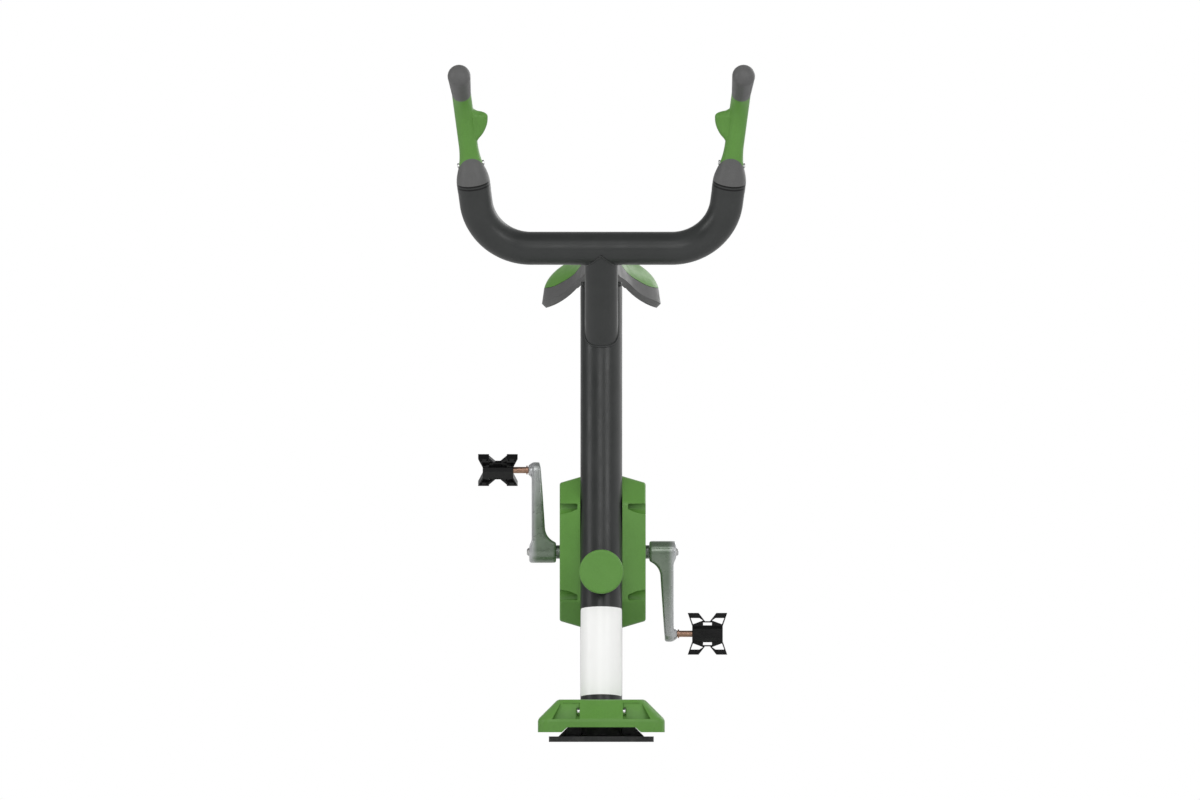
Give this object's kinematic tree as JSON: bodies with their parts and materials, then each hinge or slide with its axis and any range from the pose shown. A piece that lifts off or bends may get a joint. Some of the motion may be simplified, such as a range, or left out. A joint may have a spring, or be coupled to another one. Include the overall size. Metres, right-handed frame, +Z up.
{
  "type": "outdoor cycling station",
  "caption": "Outdoor cycling station: leaning tube post on a bolted foot, bull-horn handlebar, moulded saddle, and an enclosed crank drive with a brake and free-turning pedals.",
  "frame": {"origin": "middle of the base plate's underside, on the ground", "axes": "+Z up; +X to the right of someone who stands in front of the handlebar and faces the machine; +Y from the handlebar horns back towards the saddle, so the rider looks along -Y"},
  "size_m": [0.5596, 0.5316, 1.2325],
  "materials": {
    "charcoal_paint": "satin powder coat, charcoal",
    "green_plastic": "matt moulded plastic, leaf green",
    "grey_plastic": "matt moulded plastic, mid grey",
    "black_plastic": "matt moulded plastic, near black",
    "black_rubber": "moulded rubber",
    "zinc_steel": "zinc-plated",
    "dark_steel": "phosphated",
    "bright_screw": "bright plated",
    "brown_steel": "brown passivated",
    "cast_alloy": "cast, fine blasted, clear coated",
    "bush_bronze": "sintered bronze"
  },
  "bodies": {
    "frame": {"base_plate": "charcoal_paint", "base_gussets": "charcoal_paint", "main_post": "charcoal_paint", "front_tube": "charcoal_paint", "rear_tube": "charcoal_paint", "handlebar_stem": "charcoal_paint", "handlebar_tube": "charcoal_paint", "saddle_plate": "charcoal_paint", "saddle_rib": "charcoal_paint", "bearing_shell": "charcoal_paint", "brake_caliper": "charcoal_paint", "base_cover_left": "green_plastic", "base_cover_right": "green_plastic", "front_cap": "green_plastic", "left_grip_sleeve": "green_plastic", "right_grip_sleeve": "green_plastic", "saddle_top": "green_plastic", "housing_left": "green_plastic", "housing_right": "green_plastic", "left_grip_core": "grey_plastic", "right_grip_core": "grey_plastic", "saddle_base": "grey_plastic", "left_seam_ring": "black_plastic", "right_seam_ring": "black_plastic", "rear_plug": "black_plastic", "axle_seals": "black_rubber", "brake_pads": "black_rubber", "saddle_bolts": "zinc_steel", "axle_bearings": "zinc_steel", "brake_adjuster": "zinc_steel", "housing_bolts": "dark_steel", "base_cover_bolts": "bright_screw", "grip_screws": "bright_screw"},
    "crankset": {"crank_axle": "zinc_steel", "axle_spacer": "zinc_steel", "left_axle_collar": "dark_steel", "right_axle_collar": "dark_steel", "brake_disc": "zinc_steel", "left_crank_arm": "cast_alloy", "right_crank_arm": "cast_alloy", "crank_bolts": "zinc_steel", "left_pedal_axle": "brown_steel", "right_pedal_axle": "brown_steel", "pedal_nuts": "zinc_steel"},
    "left_pedal": {"left_pedal_body": "black_plastic", "left_pedal_bushes": "bush_bronze", "left_pedal_cap": "black_plastic"},
    "right_pedal": {"right_pedal_body": "black_plastic", "right_pedal_bushes": "bush_bronze", "right_pedal_cap": "black_plastic"}
  },
  "joints": [
    {"name": "crank_spin", "type": "hinge", "parent": "frame", "child": "crankset", "pos_m": [0.0025, 0.13168, 0.3458], "axis": [1, 0, 0], "continuous": true},
    {"name": "left_pedal_spin", "type": "hinge", "parent": "crankset", "child": "left_pedal", "pos_m": [-0.1875, 0.13168, 0.4948], "axis": [1, 0, 0], "continuous": true},
    {"name": "right_pedal_spin", "type": "hinge", "parent": "crankset", "child": "right_pedal", "pos_m": [0.1925, 0.13168, 0.1968], "axis": [1, 0, 0], "continuous": true}
  ]
}
